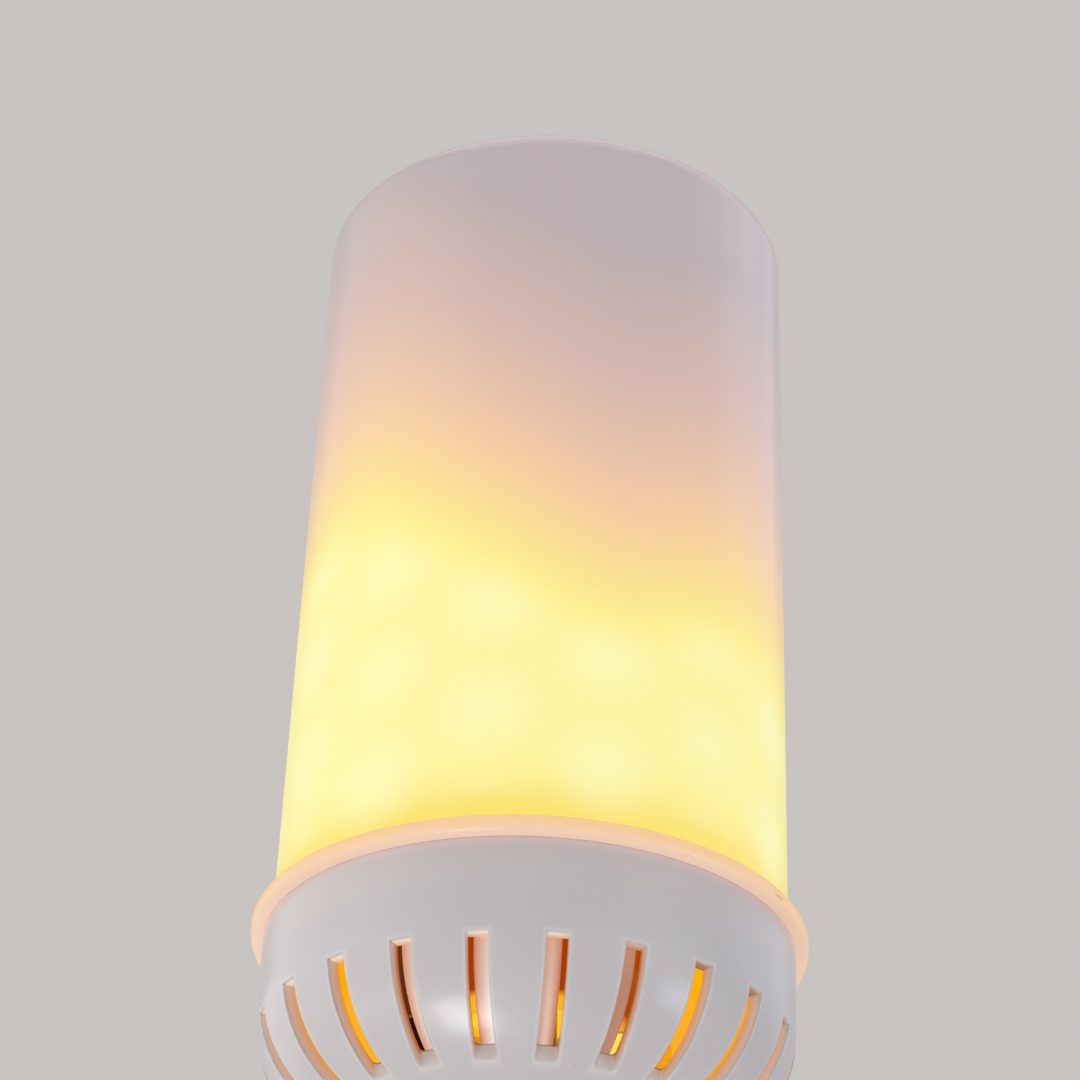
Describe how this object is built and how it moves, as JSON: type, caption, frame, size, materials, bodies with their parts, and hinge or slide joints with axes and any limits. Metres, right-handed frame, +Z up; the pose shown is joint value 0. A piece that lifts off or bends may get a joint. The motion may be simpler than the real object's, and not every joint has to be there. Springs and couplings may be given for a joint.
{
  "type": "flame effect bulb",
  "caption": "Tall round lamp bulb with an opal glowing cover on a vented white bowl-shaped housing and a screw cap, lit inside by lamps on a rolled board that flicker like a flame.",
  "frame": {"origin": "middle of the end contact's flat lower face", "axes": "+Z up the bulb's axis from the end contact to the cover's closed end, -Y towards the front screw pillar between two vents"},
  "size_m": [0.062, 0.062, 0.1498],
  "materials": {
    "opal_polycarbonate": "semi-gloss moulded, glowing",
    "white_housing_plastic": "gloss moulded",
    "nickel_plated_brass": "rolled and plated",
    "black_insulator": "gloss moulded",
    "dark_carrier_plastic": "matt moulded",
    "white_tube_plastic": "matt moulded",
    "white_flex_board": "solder mask on polyimide",
    "led_phosphor": "lit phosphor window",
    "green_board_laminate": "solder mask on glass laminate",
    "capacitor_sleeve": "shrunk sleeve on an aluminium can",
    "ferrite": "sintered",
    "enamelled_copper": "enamelled wire",
    "film_capacitor_epoxy": "dipped",
    "chip_epoxy": "moulded",
    "resistor_ceramic": "lacquered",
    "chip_ceramic": "fired",
    "red_wire_insulation": "extruded",
    "black_wire_insulation": "extruded",
    "white_wire_insulation": "extruded",
    "zinc_plated_steel": "plated"
  },
  "bodies": {
    "root": {"diffuser_cover": "opal_polycarbonate", "vent_housing": "white_housing_plastic", "screw_cap": "nickel_plated_brass", "cap_insulator": "black_insulator", "end_contact": "nickel_plated_brass", "carrier_base": "dark_carrier_plastic", "carrier_screws": "zinc_plated_steel", "board_tube": "white_tube_plastic", "tube_cap": "white_tube_plastic", "led_flex_board": "white_flex_board", "flame_leds": "led_phosphor", "flex_resistors": "chip_ceramic", "driver_board": "green_board_laminate", "bulk_capacitor": "capacitor_sleeve", "output_capacitor": "capacitor_sleeve", "choke_core": "ferrite", "choke_winding": "enamelled_copper", "film_capacitor": "film_capacitor_epoxy", "controller_chip": "chip_epoxy", "driver_chip": "chip_epoxy", "freewheel_diode": "chip_epoxy", "bridge_rectifier": "chip_epoxy", "fuse_resistor": "resistor_ceramic", "chip_passives": "chip_ceramic", "live_wire": "red_wire_insulation", "neutral_wire": "white_wire_insulation", "lamp_wire_positive": "red_wire_insulation", "lamp_wire_negative": "black_wire_insulation"}
  },
  "joints": []
}
